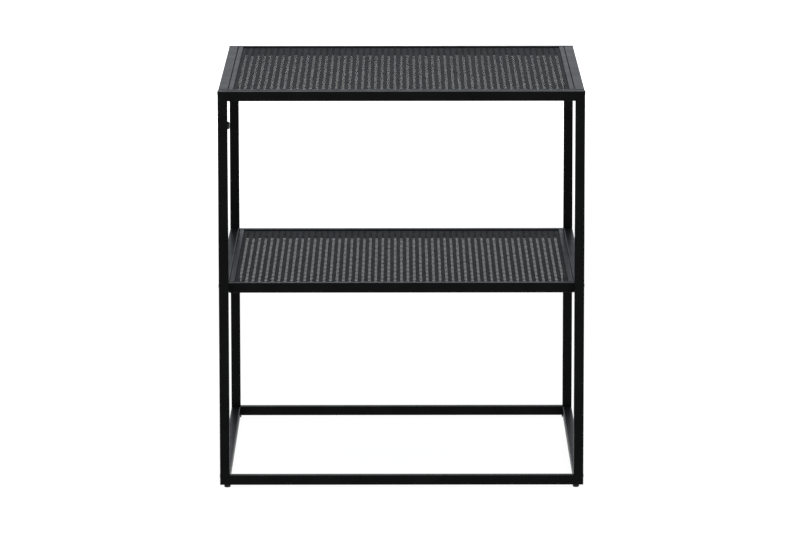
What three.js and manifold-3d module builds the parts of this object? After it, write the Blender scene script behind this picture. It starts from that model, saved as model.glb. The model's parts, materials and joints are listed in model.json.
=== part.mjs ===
// A two-shelf side table in black square steel tube, whose two upright frames fold together.
//
// Millimetres, +Z up, +X to the right and -Y to the front. The origin is on the floor, in the
// middle of the table. A front frame and a rear frame stand upright, each a rectangle of two
// legs, a top rail and a base rail. The top tray, the shelf tray and two base rails are links
// of one length between them, so the two frames stay parallel while the rear one swings up
// towards the front one, and the table closes to a quarter of its depth.

import * as THREE from "three";
import { mergeVertices } from "three/addons/utils/BufferGeometryUtils.js";
import Module from "manifold-3d";

const wasm = await Module();
wasm.setup();

// ---- Driving dimensions ----

const WIDTH = 450;
const DEPTH = 450;
const HEIGHT = 495;
const SHELF_TOP = 255; // height of the shelf tray's rails
const TUBE = 12; // outer side of the square tube
const WALL = 1.2;
const CORNER = 1.5; // outer corner radius of the tube
const SEAM = 0.1; // hairline between two welded pieces
const RUNNING_GAP = 0.4; // between a tray and the frame that it turns against
const CORNER_ARC_STEPS = 3; // round each corner of a tube
const LUG_ARC_STEPS = 10;
const END_ARC_STEPS = 8; // round the end of a rail
const ROD_SIDES = 16; // round a pin, a foot's hole or a drilled hole
const KNOB_SIDES = 24;
const FOOT_SIDES = 20;

const FOOT_HEIGHT = 3.5;
const FOOT_RADIUS = 4;
const FOOT_INSET = 9; // from the table's side to the middle of a foot
const FOOT_STEM_RADIUS = 2;
const FOOT_STEM_LENGTH = 4.5;
const FOOT_STEM_GAP = 0.3; // round the stem, in the base rail
const FOOT_CHAMFER = 0.8;
const FOOT_STEM_CHAMFER = 0.5;

const PIVOT_EDGE = 3.6; // from a pivot to the rail end and to the rail face that it turns under
const LUG_WIDTH = 9;
const LUG_RADIUS = 3.5;
const LUG_OPENING_LENGTH = 7.4; // opening in a rail's wall, from its end
const PIN_RADIUS = 1.5;
const PIN_CLEARANCE = 0.15;
const PIN_HEAD_RADIUS = 3;
const PIN_HEAD_HEIGHT = 0.8;
const PIN_HEAD_CHAMFER = [1, 0.55]; // inwards, and along the pin

const STRIP_WIDTH = 5.5; // flat top of the strip along each side of a tray's sheet
const STRIP_HEIGHT = 8;
const GROOVE_WIDTH = 1; // open groove between a rail and a strip or sheet
const GROOVE_DEPTH = 2;
const SHEET_DROP = 1.5; // from the rail top down to the perforated sheet
const SHEET_THICKNESS = 0.35;
const LEDGE_WIDTH = 3; // what the sheet's sides lie on
const LEDGE_THICKNESS = 1.5;
const BEARER_WIDTH = 8; // flat bar under the sheet's front and rear edges
const BEARER_THICKNESS = 3;
const FRONT_STRIP_WIDTH = 8; // solid bar in front of the top sheet

const KNOB_HEIGHT = 452.6;
const KNOB_RADIUS = 4.8;
const KNOB_LENGTH = 2.5;
const KNOB_STEM_RADIUS = 2;
const KNOB_ROUNDING = 2; // a low dome
const KNOB_ROUNDING_STEPS = 6;
const PLATE_THICKNESS = 2;
const PLATE_FROM_SIDE = 2; // from the table's side to the lock plate
const PLATE_GAP = 0.3; // from the plate to the tip of the knob's stem
const PLATE_REACH = 4; // from the knob's axis to the plate's nose
const PLATE_CHAMFER = 1.5;
const PLATE_NECK = 13; // length of the plate's lower edge
const PLATE_ROOT = 26; // and of its upper edge, from the nose
const PLATE_FROM_END = 1; // behind the rail's front end
const SLOT_SIDE_GAP = 0.5;
const SLOT_BELOW = 8;
const SLOT_ABOVE = 13; // the plate's nose swings up as the tray starts to turn
const COLLAR_RADIUS = 3.2;
const COLLAR_THICKNESS = 1;
const COLLAR_FROM_TIP = 0.8;

// ---- Positions that follow from them ----

const HALF_WIDTH = WIDTH / 2;
const HALF_DEPTH = DEPTH / 2;
const FRAME_INNER = HALF_DEPTH - TUBE; // inner faces of the two frames
const RAIL_MIDDLE = HALF_WIDTH - TUBE / 2; // middle of the legs and side rails
const RAIL_INNER = HALF_WIDTH - TUBE;
const RAIL_END = FRAME_INNER - RUNNING_GAP; // where trays and base rails end

// Where each tray's sheet may reach to, at the front and the rear. The shelf tray has a rail
// there; the top tray has a front strip and ends at the rear frame.
const REACHES = {
  top: { front: RAIL_END - FRONT_STRIP_WIDTH, rear: RAIL_END },
  shelf: { front: RAIL_END - TUBE, rear: RAIL_END - TUBE },
};

const BASE_TOP = FOOT_HEIGHT + TUBE;
const PIVOT_Y = RAIL_END - PIVOT_EDGE;
const FRONT_PIVOT_DROP = PIVOT_EDGE; // below the rail top at the front
const REAR_PIVOT_DROP = TUBE - PIVOT_EDGE; // and at the rear
const STRIP_OUTER = RAIL_INNER - SEAM;
const STRIP_INNER = RAIL_INNER - GROOVE_WIDTH - STRIP_WIDTH;
const CUT_MARGIN = 2; // how far a cutter runs past what it cuts
const LEVELS = { top: HEIGHT, shelf: SHELF_TOP, base: BASE_TOP };
const SIDES = { left: -1, right: 1 };
const ENDS = { front: -1, rear: 1 };

// ---- Materials ----

const powderCoat = new THREE.MeshStandardMaterial({ color: 0x161616, roughness: 0.5, metalness: 0.1 });
const sheetCoat = new THREE.MeshStandardMaterial({ color: 0x1c1c1d, roughness: 0.55, metalness: 0.1 });
const pinSteel = new THREE.MeshStandardMaterial({ color: 0x1a1a1b, roughness: 0.4, metalness: 0.6 });
const nylon = new THREE.MeshStandardMaterial({ color: 0x111111, roughness: 0.7, metalness: 0 });

// ---- Solids ----

const X = new THREE.Vector3(1, 0, 0);
const Y = new THREE.Vector3(0, 1, 0);
const Z = new THREE.Vector3(0, 0, 1);

// A geometry as a manifold solid, for cutting.
function toSolid(geometry) {
  const bare = geometry.clone();
  bare.deleteAttribute("normal");
  bare.deleteAttribute("uv");
  const merged = mergeVertices(bare, 1e-4);
  const mesh = new wasm.Mesh({
    numProp: 3,
    vertProperties: new Float32Array(merged.attributes.position.array),
    triVerts: new Uint32Array(merged.index.array),
  });
  return new wasm.Manifold(mesh);
}

// A manifold solid back as a geometry.
function toGeometry(solid) {
  const mesh = solid.getMesh();
  const geometry = new THREE.BufferGeometry();
  geometry.setAttribute("position", new THREE.BufferAttribute(mesh.vertProperties, 3));
  geometry.setIndex(new THREE.BufferAttribute(mesh.triVerts, 1));
  return geometry;
}

// One geometry with others cut out of it.
function cut(geometry, cutters) {
  const solid = cutters.reduce((left, cutter) => left.subtract(toSolid(cutter)), toSolid(geometry));
  return toGeometry(solid);
}

// A box between two opposite corners.
function block(low, high) {
  const size = high.map((value, axis) => value - low[axis]);
  const geometry = new THREE.BoxGeometry(...size);
  return geometry.translate(...low.map((value, axis) => value + size[axis] / 2));
}

// An outline pushed along an axis, from one place on it to another. The outline is drawn in
// (Y, Z) for the X axis, in (X, Z) for the Y axis and in (X, Y) for the Z axis.
function prism(outline, axis, from, to, curveSegments = CORNER_ARC_STEPS) {
  const settings = { depth: to - from, bevelEnabled: false, curveSegments };
  const geometry = new THREE.ExtrudeGeometry(outline, settings);
  const turn = new THREE.Matrix4();
  if (axis === "x") turn.makeBasis(Y, Z, X).setPosition(from, 0, 0);
  if (axis === "y") turn.makeBasis(X, Z, Y.clone().negate()).setPosition(0, to, 0);
  if (axis === "z") turn.setPosition(0, 0, from);
  return geometry.applyMatrix4(turn);
}

// A round rod along X, used as a drill.
function drill(radius, fromX, toX, y, z) {
  const rod = new THREE.CylinderGeometry(radius, radius, toX - fromX, ROD_SIDES);
  rod.rotateZ(Math.PI / 2);
  return rod.translate((fromX + toX) / 2, y, z);
}

// An outline turned round the X or Z axis: pairs of (place along the axis, radius).
function turned(outline, axis, segments) {
  const points = outline.map(([along, radius]) => new THREE.Vector2(radius, along));
  const geometry = new THREE.LatheGeometry(points, segments);
  return axis === "z" ? geometry.rotateX(Math.PI / 2) : geometry.rotateZ(-Math.PI / 2);
}

// The square tube's section, with its middle at (u, v).
function tubeSection(u, v) {
  const half = TUBE / 2;
  const flat = half - CORNER;
  const outline = new THREE.Shape();
  outline.absarc(u + flat, v + flat, CORNER, 0, Math.PI / 2);
  outline.absarc(u - flat, v + flat, CORNER, Math.PI / 2, Math.PI);
  outline.absarc(u - flat, v - flat, CORNER, Math.PI, 1.5 * Math.PI);
  outline.absarc(u + flat, v - flat, CORNER, 1.5 * Math.PI, 2 * Math.PI);
  outline.closePath();
  const bore = half - WALL;
  const hollow = new THREE.Path();
  hollow.moveTo(u - bore, v - bore);
  hollow.lineTo(u - bore, v + bore);
  hollow.lineTo(u + bore, v + bore);
  hollow.lineTo(u + bore, v - bore);
  hollow.closePath();
  outline.holes.push(hollow);
  return outline;
}

// An outline through points, put in anticlockwise order.
function polygon(points) {
  const corners = points.map(([u, v]) => new THREE.Vector2(u, v));
  return new THREE.Shape(THREE.ShapeUtils.area(corners) < 0 ? corners.reverse() : corners);
}

// ---- Front and rear frames ----

// A wedge that mitres a frame corner. Seen from the front, the mitre runs from the outer
// corner at (side * HALF_WIDTH, cornerZ) inwards at 45 degrees; the wedge takes away the leg's
// side or the rail's side of it.
function mitreWedge(side, up, takes, frameY) {
  const reach = TUBE + CUT_MARGIN;
  const cornerZ = up > 0 ? HEIGHT : FOOT_HEIGHT;
  const cornerX = side * HALF_WIDTH;
  const shift = SEAM / 2;
  const along = takes === "rail" ? [0, -up * shift] : [-side * shift, 0];
  const place = (inwards, vertical) => [
    cornerX + along[0] - side * inwards,
    cornerZ + along[1] - up * vertical,
  ];
  const outer = -CUT_MARGIN;
  const apex = takes === "rail" ? place(reach, outer) : place(outer, reach);
  const points = [place(outer, outer), place(reach, reach), apex];
  return prism(polygon(points), "y", frameY - reach, frameY + reach);
}

// A leg, mitred at both ends. The front left leg also takes the lock.
function leg(side, frameY, cutters) {
  const tube = prism(tubeSection(side * RAIL_MIDDLE, frameY), "z", FOOT_HEIGHT, HEIGHT);
  const mitres = [1, -1].map((up) => mitreWedge(side, up, "rail", frameY));
  return cut(tube, [...mitres, ...cutters]);
}

// The top or base rail of a frame, mitred into both legs.
function crossRail(up, frameY, cutters) {
  const middleZ = up > 0 ? HEIGHT - TUBE / 2 : FOOT_HEIGHT + TUBE / 2;
  const tube = prism(tubeSection(frameY, middleZ), "x", -HALF_WIDTH, HALF_WIDTH);
  const mitres = [1, -1].map((side) => mitreWedge(side, up, "leg", frameY));
  return cut(tube, [...mitres, ...cutters]);
}

// A hole in a base rail for the stem of a foot.
function footHole(side, frameY) {
  const radius = FOOT_STEM_RADIUS + FOOT_STEM_GAP;
  const hole = new THREE.CylinderGeometry(radius, radius, 2 * CUT_MARGIN, ROD_SIDES);
  hole.rotateX(Math.PI / 2);
  return hole.translate(side * (HALF_WIDTH - FOOT_INSET), frameY, FOOT_HEIGHT);
}

// A moulded glide: a round pad with a stem pressed into the base rail.
function foot(side, frameY) {
  const top = FOOT_HEIGHT - SEAM;
  const outline = [
    [0, 0],
    [0, FOOT_RADIUS - FOOT_CHAMFER],
    [FOOT_CHAMFER, FOOT_RADIUS],
    [top, FOOT_RADIUS],
    [top, FOOT_STEM_RADIUS],
    [top + FOOT_STEM_LENGTH - FOOT_STEM_CHAMFER, FOOT_STEM_RADIUS],
    [top + FOOT_STEM_LENGTH, FOOT_STEM_RADIUS - FOOT_STEM_CHAMFER],
    [top + FOOT_STEM_LENGTH, 0],
  ];
  return turned(outline, "z", FOOT_SIDES).translate(side * (HALF_WIDTH - FOOT_INSET), frameY, 0);
}

// A solid lug on the inner face of a leg. It reaches into the open end of a rail.
function lug(side, end, railTop) {
  const pivotZ = railTop - (end < 0 ? FRONT_PIVOT_DROP : REAR_PIVOT_DROP);
  const root = end * (FRAME_INNER - SEAM);
  const pivotY = end * PIVOT_Y;
  const outline = new THREE.Shape();
  outline.moveTo(root, pivotZ - LUG_RADIUS);
  if (end < 0) outline.absarc(pivotY, pivotZ, LUG_RADIUS, -Math.PI / 2, Math.PI / 2, false);
  else outline.absarc(pivotY, pivotZ, LUG_RADIUS, 1.5 * Math.PI, Math.PI / 2, true);
  outline.lineTo(root, pivotZ + LUG_RADIUS);
  outline.closePath();
  const middle = side * RAIL_MIDDLE;
  const half = LUG_WIDTH / 2;
  const body = prism(outline, "x", middle - half, middle + half, LUG_ARC_STEPS);
  const bore = drill(PIN_RADIUS + 2 * PIN_CLEARANCE, middle - TUBE, middle + TUBE, pivotY, pivotZ);
  return cut(body, [bore]);
}

// ---- Trays and base rails ----

// Rounds a link off about a pivot, on the corner that passes close to the frame: the top
// corner at the front and the bottom corner at the rear.
function pivotRounding(end, railTop) {
  const pivotZ = railTop - (end < 0 ? FRONT_PIVOT_DROP : REAR_PIVOT_DROP);
  const pivotY = end * PIVOT_Y;
  const up = -end;
  const far = PIVOT_EDGE + CUT_MARGIN;
  const outline = new THREE.Shape();
  outline.moveTo(pivotY, pivotZ + up * far);
  outline.lineTo(pivotY + end * far, pivotZ + up * far);
  outline.lineTo(pivotY + end * far, pivotZ);
  outline.lineTo(pivotY + end * PIVOT_EDGE, pivotZ);
  if (end < 0) outline.absarc(pivotY, pivotZ, PIVOT_EDGE, Math.PI, Math.PI / 2, true);
  else outline.absarc(pivotY, pivotZ, PIVOT_EDGE, 0, -Math.PI / 2, true);
  outline.closePath();
  const half = HALF_WIDTH + CUT_MARGIN;
  return prism(outline, "x", -half, half, END_ARC_STEPS);
}

// Opens the wall of a side rail that a lug swings out through.
function lugOpening(side, end, railTop) {
  const bore = TUBE / 2 - WALL;
  const middle = side * RAIL_MIDDLE;
  const inner = RAIL_END - LUG_OPENING_LENGTH;
  const ys = [end * (RAIL_END + CUT_MARGIN), end * inner].sort((a, b) => a - b);
  const wall = end < 0 ? railTop - WALL : railTop - TUBE;
  return block([middle - bore, ys[0], wall - SEAM], [middle + bore, ys[1], wall + WALL + SEAM]);
}

// A side rail: a link between the frames, with a pivot hole and a lug opening at each end.
function sideRail(side, railTop) {
  const tube = prism(tubeSection(side * RAIL_MIDDLE, railTop - TUBE / 2), "y", -RAIL_END, RAIL_END);
  const cutters = [-1, 1].flatMap((end) => {
    const pivotZ = railTop - (end < 0 ? FRONT_PIVOT_DROP : REAR_PIVOT_DROP);
    const middle = side * RAIL_MIDDLE;
    return [
      pivotRounding(end, railTop),
      lugOpening(side, end, railTop),
      drill(PIN_RADIUS + PIN_CLEARANCE, middle - TUBE, middle + TUBE, end * PIVOT_Y, pivotZ),
    ];
  });
  return cut(tube, cutters);
}

// A pivot pin: a low head outside, a shank through the rail and the lug, flush inside.
function pin(side, end, railTop) {
  const outline = [
    [-PIN_HEAD_HEIGHT, 0],
    [-PIN_HEAD_HEIGHT, PIN_HEAD_RADIUS - PIN_HEAD_CHAMFER[0]],
    [PIN_HEAD_CHAMFER[1] - PIN_HEAD_HEIGHT, PIN_HEAD_RADIUS],
    [-SEAM / 2, PIN_HEAD_RADIUS],
    [-SEAM / 2, PIN_RADIUS],
    [TUBE - 2 * SEAM, PIN_RADIUS],
    [TUBE - 2 * SEAM, 0],
  ];
  const pivotZ = railTop - (end < 0 ? FRONT_PIVOT_DROP : REAR_PIVOT_DROP);
  const shank = turned(outline, "x", ROD_SIDES);
  if (side > 0) shank.rotateY(Math.PI);
  return shank.translate(side * HALF_WIDTH, end * PIVOT_Y, pivotZ);
}

// The shelf tray's front or rear rail, welded between its side rails.
function trayRail(end, railTop) {
  const half = RAIL_INNER - SEAM;
  const tube = prism(tubeSection(end * (RAIL_END - TUBE / 2), railTop - TUBE / 2), "x", -half, half);
  return cut(tube, [pivotRounding(end, railTop)]);
}

// The solid bar along the front of the top sheet, welded between the side rails.
function frontStrip() {
  const half = RAIL_INNER - SEAM;
  const low = [-half, -RAIL_END, HEIGHT - STRIP_HEIGHT];
  const high = [half, -REACHES.top.front, HEIGHT];
  return cut(block(low, high), [pivotRounding(-1, HEIGHT)]);
}

// The strip along a side of the sheet. Its top is stepped into a groove beside the rail, its
// lower part is welded to the rail, and a ledge under its inner edge carries the sheet.
function sideStrip(side, reach, railTop) {
  const sheetUnder = railTop - SHEET_DROP - SHEET_THICKNESS - SEAM;
  const bottom = railTop - STRIP_HEIGHT;
  const shoulder = RAIL_INNER - GROOVE_WIDTH;
  const points = [
    [STRIP_INNER, bottom],
    [STRIP_OUTER, bottom],
    [STRIP_OUTER, railTop - GROOVE_DEPTH],
    [shoulder, railTop - GROOVE_DEPTH],
    [shoulder, railTop],
    [STRIP_INNER, railTop],
    [STRIP_INNER, sheetUnder],
    [STRIP_INNER - LEDGE_WIDTH, sheetUnder],
    [STRIP_INNER - LEDGE_WIDTH, sheetUnder - LEDGE_THICKNESS],
    [STRIP_INNER, sheetUnder - LEDGE_THICKNESS],
  ].map(([out, z]) => [side * out, z]);
  return prism(polygon(points), "y", GROOVE_WIDTH - reach.front, reach.rear - GROOVE_WIDTH);
}

// The flat bar under the front or rear edge of the sheet, welded between the strips.
function bearer(end, reach, railTop) {
  const top = railTop - SHEET_DROP - SHEET_THICKNESS - SEAM;
  const half = STRIP_INNER - LEDGE_WIDTH - SEAM;
  const ys = [end * (reach - SEAM), end * (reach - BEARER_WIDTH)].sort((a, b) => a - b);
  return block([-half, ys[0], top - BEARER_THICKNESS], [half, ys[1], top]);
}

// The tray's sheet, plain here: its small square holes are too many for this model.
function sheet(reach, railTop) {
  const half = STRIP_INNER - SEAM;
  const top = railTop - SHEET_DROP;
  const low = [-half, GROOVE_WIDTH - reach.front, top - SHEET_THICKNESS];
  return block(low, [half, reach.rear - GROOVE_WIDTH, top]);
}

// ---- Fold lock, inside the front left leg ----

const LEG_Y = -(HALF_DEPTH - TUBE / 2);
const PLATE_OUTER = -(HALF_WIDTH - PLATE_FROM_SIDE);
const PLATE_INNER = PLATE_OUTER + PLATE_THICKNESS;

// A plate under the top tray's left rail. Its nose stands inside the leg, where the knob's
// stem locks into its hole, and it leaves the leg through the slot as the tray turns up.
function lockPlate() {
  const under = HEIGHT - TUBE - SEAM;
  const nose = LEG_Y - PLATE_REACH;
  const low = KNOB_HEIGHT - PLATE_REACH - PLATE_CHAMFER;
  const high = KNOB_HEIGHT + PLATE_REACH + PLATE_CHAMFER;
  const front = -RAIL_END + PLATE_FROM_END;
  const outline = polygon([
    [front, under],
    [front, high + PLATE_CHAMFER],
    [nose + PLATE_CHAMFER, high],
    [nose, high - PLATE_CHAMFER],
    [nose, low + PLATE_CHAMFER],
    [nose + PLATE_CHAMFER, low],
    [nose + PLATE_NECK, low],
    [nose + PLATE_ROOT, under],
  ]);
  const plate = prism(outline, "x", PLATE_OUTER, PLATE_INNER);
  const ends = [PLATE_OUTER - CUT_MARGIN, PLATE_INNER + CUT_MARGIN];
  return cut(plate, [drill(KNOB_STEM_RADIUS + PLATE_GAP, ...ends, LEG_Y, KNOB_HEIGHT)]);
}

// The slot in the leg's rear wall that the plate passes through.
function lockSlot() {
  const walls = [-FRAME_INNER - WALL - SEAM, -FRAME_INNER + CUT_MARGIN];
  return block(
    [PLATE_OUTER - SLOT_SIDE_GAP, walls[0], KNOB_HEIGHT - SLOT_BELOW],
    [PLATE_INNER + SLOT_SIDE_GAP, walls[1], KNOB_HEIGHT + SLOT_ABOVE],
  );
}

// The hole in the leg's inner wall for the knob's stem.
function knobHole() {
  const ends = [-RAIL_INNER - 2 * WALL, -RAIL_INNER + CUT_MARGIN];
  return drill(KNOB_STEM_RADIUS + PLATE_GAP, ...ends, LEG_Y, KNOB_HEIGHT);
}

// The pull knob: a domed head on the leg's inner face, a stem, and a collar that keeps it in.
function lockKnob() {
  const face = -RAIL_INNER + SEAM;
  const tip = PLATE_INNER + PLATE_GAP;
  const collar = tip + COLLAR_FROM_TIP;
  const dome = [];
  for (let step = 0; step <= KNOB_ROUNDING_STEPS; step += 1) {
    const angle = ((step / KNOB_ROUNDING_STEPS) * Math.PI) / 2;
    dome.push([
      face + KNOB_LENGTH - KNOB_ROUNDING * (1 - Math.sin(angle)),
      KNOB_RADIUS - KNOB_ROUNDING * (1 - Math.cos(angle)),
    ]);
  }
  const outline = [
    [tip, 0],
    [tip, KNOB_STEM_RADIUS],
    [collar, KNOB_STEM_RADIUS],
    [collar, COLLAR_RADIUS],
    [collar + COLLAR_THICKNESS, COLLAR_RADIUS],
    [collar + COLLAR_THICKNESS, KNOB_STEM_RADIUS],
    [face, KNOB_STEM_RADIUS],
    [face, KNOB_RADIUS],
    ...dome,
    [face + KNOB_LENGTH, 0],
  ];
  return turned(outline, "x", KNOB_SIDES).translate(0, LEG_Y, KNOB_HEIGHT);
}

// ---- Assembly ----

const group = new THREE.Group();

function add(name, geometry, material) {
  const mesh = new THREE.Mesh(geometry, material);
  mesh.name = name;
  group.add(mesh);
}

for (const [frame, end] of Object.entries(ENDS)) {
  const frameY = end * (HALF_DEPTH - TUBE / 2);
  const footHoles = Object.values(SIDES).map((side) => footHole(side, frameY));
  add(`${frame}_top_rail`, crossRail(1, frameY, []), powderCoat);
  add(`${frame}_base_rail`, crossRail(-1, frameY, footHoles), powderCoat);
  for (const [name, side] of Object.entries(SIDES)) {
    const locks = end < 0 && side < 0 ? [lockSlot(), knobHole()] : [];
    add(`${frame}_${name}_leg`, leg(side, frameY, locks), powderCoat);
    add(`${frame}_${name}_foot`, foot(side, frameY), nylon);
    for (const [level, railTop] of Object.entries(LEVELS)) {
      add(`${frame}_${name}_${level}_lug`, lug(side, end, railTop), powderCoat);
    }
  }
}

for (const [level, railTop] of Object.entries(LEVELS)) {
  for (const [name, side] of Object.entries(SIDES)) {
    add(`${level}_${name}_rail`, sideRail(side, railTop), powderCoat);
    add(`${level}_front_${name}_pin`, pin(side, -1, railTop), pinSteel);
    add(`${level}_rear_${name}_pin`, pin(side, 1, railTop), pinSteel);
  }
}

for (const [level, reach] of Object.entries(REACHES)) {
  const railTop = LEVELS[level];
  for (const [name, side] of Object.entries(SIDES)) {
    add(`${level}_${name}_strip`, sideStrip(side, reach, railTop), powderCoat);
  }
  for (const [name, end] of Object.entries(ENDS)) {
    add(`${level}_${name}_bearer`, bearer(end, reach[name], railTop), powderCoat);
  }
  add(`${level}_sheet`, sheet(reach, railTop), sheetCoat);
}
add("top_front_strip", frontStrip(), powderCoat);
add("shelf_front_rail", trayRail(-1, SHELF_TOP), powderCoat);
add("shelf_rear_rail", trayRail(1, SHELF_TOP), powderCoat);

add("lock_plate", lockPlate(), powderCoat);
add("lock_knob", lockKnob(), pinSteel);

export default group;
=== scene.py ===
"""Looks for the folding side table: camera, studio, powder coat and perforated shelves.

Metres, +Z up, -Y to the front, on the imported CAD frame.
"""

import json
import math

import bpy
from mathutils import Matrix, Vector


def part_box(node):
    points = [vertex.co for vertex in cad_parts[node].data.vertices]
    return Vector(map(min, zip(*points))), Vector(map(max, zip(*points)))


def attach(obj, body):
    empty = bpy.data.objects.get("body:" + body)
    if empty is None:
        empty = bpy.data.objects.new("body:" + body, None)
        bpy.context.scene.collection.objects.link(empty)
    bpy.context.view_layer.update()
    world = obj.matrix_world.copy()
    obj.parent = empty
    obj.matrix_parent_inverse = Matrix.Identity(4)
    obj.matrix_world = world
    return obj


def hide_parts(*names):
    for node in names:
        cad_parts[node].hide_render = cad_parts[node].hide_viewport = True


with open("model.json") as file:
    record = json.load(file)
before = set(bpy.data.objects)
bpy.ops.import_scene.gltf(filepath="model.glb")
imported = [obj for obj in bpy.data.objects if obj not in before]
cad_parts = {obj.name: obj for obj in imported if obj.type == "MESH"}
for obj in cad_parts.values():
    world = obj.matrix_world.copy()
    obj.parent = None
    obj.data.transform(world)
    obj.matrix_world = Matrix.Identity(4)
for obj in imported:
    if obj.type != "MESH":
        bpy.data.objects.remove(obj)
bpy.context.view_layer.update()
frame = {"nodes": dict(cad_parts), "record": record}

# ---- Driving dimensions ----

CAMERA_PLACE = (-0.0014, -6.4008, 1.3324)
CAMERA_PITCH = 0.16909  # radians below the horizon
CAMERA_YAW = -0.00007
CAMERA_ROLL = -0.001
CAMERA_LENS = 229.26  # mm
CAMERA_SENSOR = 36.0  # mm, the width
CAMERA_REACH = 100.0

FLOOR_RADIUS = 9.0
FLOOR_SIDES = 96
FLOOR_GLOW = 0.96
BACKDROP_GLOW = 1.7  # the floor far behind the table, as bright as a lit backdrop
BACKDROP_STARTS = 1.7  # metres behind the table's middle
BACKDROP_FULL = 2.6
FLOOR_COLOUR = (0.07, 0.07, 0.07)
SKY_COLOUR = (1.0, 1.04, 1.12)  # a little cool
SKY_STRENGTH = 1.0
SOFTBOX_SIZE = 2.4
SOFTBOX_PLACE = (0.0, 0.6, 2.6)
SOFTBOX_POWER = 30.0

HOLE_SIDE = 0.0032
COLUMN_PITCH = 0.008
ROW_PITCH = 0.005  # every other crossing of a row and a column has a hole
LEAST_MARGIN = 0.003  # plain edge round the holes

EDGE_BEVEL = 0.0002
SHARP_ANGLE = math.radians(40)
WELD_DISTANCE = 0.000002

NOISE_RANGE = (0.3, 0.7)  # where most of a noise lies
TINT_RANGE = (0.35, 0.65)
GLOSS_SPREAD = 0.03  # how far the coat's roughness strays from its middle

COAT_COLOUR = (0.0038, 0.0038, 0.0039)
COAT_WORN_COLOUR = (0.0052, 0.0052, 0.0053)
NYLON_COLOUR = (0.010, 0.010, 0.010)


# ---- Camera ----


def add_camera():
    """The camera, turned from its pitch, yaw and roll."""
    pitch, yaw, roll = CAMERA_PITCH, CAMERA_YAW, CAMERA_ROLL
    level = math.cos(pitch)
    forward = Vector((math.sin(yaw) * level, math.cos(yaw) * level, -math.sin(pitch)))
    right = Vector((math.cos(yaw), -math.sin(yaw), 0.0))
    up = right.cross(forward)
    turned_right = math.cos(roll) * right + math.sin(roll) * up
    turned_up = math.cos(roll) * up - math.sin(roll) * right
    data = bpy.data.cameras.new("camera")
    data.sensor_width = CAMERA_SENSOR
    data.lens = CAMERA_LENS
    data.clip_end = CAMERA_REACH
    camera = bpy.data.objects.new("camera", data)
    turn = Matrix((turned_right, turned_up, -forward)).transposed().to_4x4()
    camera.matrix_world = Matrix.Translation(CAMERA_PLACE) @ turn
    bpy.context.scene.collection.objects.link(camera)
    bpy.context.scene.camera = camera


# ---- Materials ----


class Shader:
    """A new material with one Principled shader, and short ways to add nodes to it."""

    def __init__(self, name):
        self.material = bpy.data.materials.new(name)
        self.material.use_nodes = True
        self.nodes = self.material.node_tree.nodes
        self.links = self.material.node_tree.links
        self.surface = self.nodes["Principled BSDF"]

    def node(self, kind, **inputs):
        """Adds a node and sets its inputs by name."""
        node = self.nodes.new(kind)
        for name, value in inputs.items():
            node.inputs[name.replace("_", " ")].default_value = value
        return node

    def noise(self, size, detail):
        """Noise in the piece's own space, with features of about this size in metres."""
        place = self.nodes.new("ShaderNodeTexCoord")
        noise = self.node("ShaderNodeTexNoise", Scale=1.0 / size, Detail=detail)
        self.links.new(place.outputs["Object"], noise.inputs["Vector"])
        return noise.outputs["Fac"]

    def mottle(self, source, socket, low, high):
        """Varies a value socket between low and high with a noise."""
        start, stop = NOISE_RANGE
        spread = self.node(
            "ShaderNodeMapRange", From_Min=start, From_Max=stop, To_Min=low, To_Max=high
        )
        self.links.new(source, spread.inputs["Value"])
        self.links.new(spread.outputs["Result"], self.surface.inputs[socket])

    def tint(self, source, low, high):
        """Varies the base colour between two colours with a noise."""
        ramp = self.nodes.new("ShaderNodeValToRGB")
        for element, position, colour in zip(ramp.color_ramp.elements, TINT_RANGE, (low, high)):
            element.position = position
            element.color = (*colour, 1.0)
        self.links.new(source, ramp.inputs["Fac"])
        self.links.new(ramp.outputs["Color"], self.surface.inputs["Base Color"])

    def grain(self, source, strength, height):
        """Raises the surface by a noise, up to this height in metres."""
        bump = self.node("ShaderNodeBump", Strength=strength, Distance=height)
        self.links.new(source, bump.inputs["Height"])
        self.links.new(bump.outputs["Normal"], self.surface.inputs["Normal"])


def powder_coat(name, specular, roughness):
    """Fine matt black powder coat: a pebbled grain, and slow changes of gloss."""
    shader = Shader(name)
    shader.surface.inputs["Specular IOR Level"].default_value = specular
    shader.tint(shader.noise(0.03, 4.0), COAT_COLOUR, COAT_WORN_COLOUR)
    low, high = roughness - GLOSS_SPREAD, roughness + GLOSS_SPREAD
    shader.mottle(shader.noise(0.02, 3.0), "Roughness", low, high)
    shader.grain(shader.noise(0.0007, 2.0), 0.12, 0.00004)
    return shader.material


def black_steel(name):
    """Satin black turned steel, with fine rings of gloss."""
    shader = Shader(name)
    shader.surface.inputs["Specular IOR Level"].default_value = 0.3
    shader.tint(shader.noise(0.004, 3.0), COAT_COLOUR, COAT_WORN_COLOUR)
    shader.mottle(shader.noise(0.001, 2.0), "Roughness", 0.28, 0.38)
    shader.grain(shader.noise(0.0004, 2.0), 0.08, 0.00002)
    return shader.material


def moulded_nylon(name):
    """Matt black moulded nylon."""
    shader = Shader(name)
    shader.surface.inputs["Specular IOR Level"].default_value = 0.2
    shader.tint(shader.noise(0.003, 3.0), NYLON_COLOUR, COAT_WORN_COLOUR)
    shader.mottle(shader.noise(0.002, 2.0), "Roughness", 0.55, 0.68)
    shader.grain(shader.noise(0.0006, 2.0), 0.15, 0.00004)
    return shader.material


# ---- Studio ----


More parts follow.
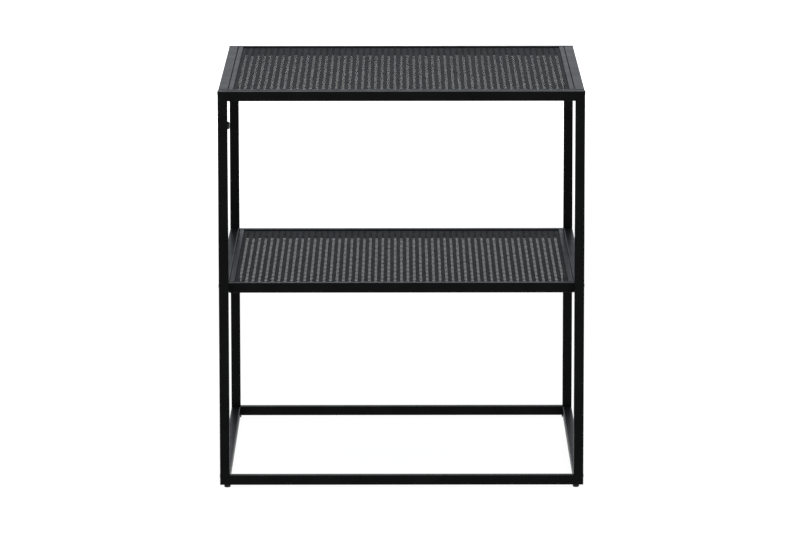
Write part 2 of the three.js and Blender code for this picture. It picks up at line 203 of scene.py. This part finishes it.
def add_floor():
    """A round pale floor that glows a little, as a lit studio sweep does."""
    ring = [2.0 * math.pi * step / FLOOR_SIDES for step in range(FLOOR_SIDES)]
    corners = [(FLOOR_RADIUS * math.cos(a), FLOOR_RADIUS * math.sin(a), 0.0) for a in ring]
    mesh = bpy.data.meshes.new("floor")
    mesh.from_pydata(corners, [], [tuple(range(FLOOR_SIDES))])
    shader = Shader("pale_floor")
    shader.surface.inputs["Base Color"].default_value = (*FLOOR_COLOUR, 1.0)
    shader.surface.inputs["Roughness"].default_value = 1.0
    shader.surface.inputs["Specular IOR Level"].default_value = 0.0
    shader.surface.inputs["Emission Color"].default_value = (1.0, 1.0, 1.0, 1.0)
    place = shader.nodes.new("ShaderNodeTexCoord")
    split = shader.nodes.new("ShaderNodeSeparateXYZ")
    glow = shader.node(
        "ShaderNodeMapRange",
        From_Min=BACKDROP_STARTS,
        From_Max=BACKDROP_FULL,
        To_Min=FLOOR_GLOW,
        To_Max=BACKDROP_GLOW,
    )
    shader.links.new(place.outputs["Object"], split.inputs["Vector"])
    shader.links.new(split.outputs["Y"], glow.inputs["Value"])
    shader.links.new(glow.outputs["Result"], shader.surface.inputs["Emission Strength"])
    mesh.materials.append(shader.material)
    floor = bpy.data.objects.new("floor", mesh)
    bpy.context.scene.collection.objects.link(floor)


def add_light():
    """An even pale sky and one soft box overhead."""
    world = bpy.data.worlds.new("studio")
    world.use_nodes = True
    background = world.node_tree.nodes["Background"]
    background.inputs["Color"].default_value = (*SKY_COLOUR, 1.0)
    background.inputs["Strength"].default_value = SKY_STRENGTH
    bpy.context.scene.world = world
    data = bpy.data.lights.new("softbox", "AREA")
    data.size = SOFTBOX_SIZE
    data.energy = SOFTBOX_POWER
    softbox = bpy.data.objects.new("softbox", data)
    softbox.location = SOFTBOX_PLACE
    bpy.context.scene.collection.objects.link(softbox)


# ---- Perforated shelves ----


def grid_lines(low, high, pitch):
    """Edges of the holes along one side of a sheet, with the plain margin at both ends."""
    count = int((high - low - 2.0 * LEAST_MARGIN - HOLE_SIDE) / pitch) + 1
    first = (low + high) / 2.0 - (count - 1) * pitch / 2.0 - HOLE_SIDE / 2.0
    lines = [low]
    for index in range(count):
        start = first + index * pitch
        lines += [start, start + HOLE_SIDE]
    return lines + [high]


def perforated_mesh(name, low, high):
    """One closed plate with square holes, each row half a step along from the last."""
    xs = grid_lines(low.x, high.x, COLUMN_PITCH)
    ys = grid_lines(low.y, high.y, ROW_PITCH)
    columns, rows = len(xs) - 1, len(ys) - 1
    layer = len(xs) * len(ys)
    corners = [(x, y, z) for z in (low.z, high.z) for y in ys for x in xs]

    def corner(i, j, top):
        return top * layer + j * len(xs) + i

    def solid(i, j):
        inside = 0 <= i < columns and 0 <= j < rows
        hole = i % 2 == 1 and j % 2 == 1 and (i + j) % 4 == 2
        return inside and not hole

    faces = []
    for j in range(rows):
        for i in range(columns):
            if not solid(i, j):
                continue
            square = [(i, j), (i + 1, j), (i + 1, j + 1), (i, j + 1)]
            beside = [(i, j - 1), (i + 1, j), (i, j + 1), (i - 1, j)]
            faces.append([corner(a, b, 1) for a, b in square])
            faces.append([corner(a, b, 0) for a, b in reversed(square)])
            for side in range(4):
                if solid(*beside[side]):
                    continue
                (a, b), (c, d) = square[side], square[(side + 1) % 4]
                faces.append([corner(a, b, 0), corner(c, d, 0), corner(c, d, 1), corner(a, b, 1)])
    mesh = bpy.data.meshes.new(name)
    mesh.from_pydata(corners, [], faces)
    mesh.update()
    return mesh


def add_perforated_sheet(level, material):
    """The shelf's real sheet, in place of the plain one in the CAD."""
    node = f"{level}_sheet"
    low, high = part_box(node)
    mesh = perforated_mesh(f"{level}_perforated_sheet", low, high)
    mesh.materials.append(material)
    sheet = bpy.data.objects.new(mesh.name, mesh)
    bpy.context.scene.collection.objects.link(sheet)
    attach(sheet, f"{level}_tray")
    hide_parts(node)


# ---- CAD nodes ----


def finish_node(node, material):
    """Gives a CAD node its material, soft edges and even shading."""
    node.data.materials.clear()
    node.data.materials.append(material)
    node.data.polygons.foreach_set("use_smooth", [True] * len(node.data.polygons))
    weld = node.modifiers.new("weld", "WELD")
    weld.merge_threshold = WELD_DISTANCE
    bevel = node.modifiers.new("bevel", "BEVEL")
    bevel.width = EDGE_BEVEL
    bevel.segments = 2
    bevel.limit_method = "ANGLE"
    bevel.angle_limit = SHARP_ANGLE
    normals = node.modifiers.new("normals", "WEIGHTED_NORMAL")
    normals.weight = 100


add_camera()
add_floor()
add_light()

materials = {
    "frame_coat": powder_coat("frame_coat", 0.025, 0.34),
    "sheet_coat": powder_coat("sheet_coat", 0.021, 0.55),
    "pin_steel": black_steel("pin_steel"),
    "foot_nylon": moulded_nylon("foot_nylon"),
}
for part in frame["record"]["subparts"]:
    finish_node(frame["nodes"][part["node"]], materials[part["material_slot"]])
for level in ("top", "shelf"):
    add_perforated_sheet(level, materials["sheet_coat"])

bpy.context.scene.view_settings.view_transform = "Standard"
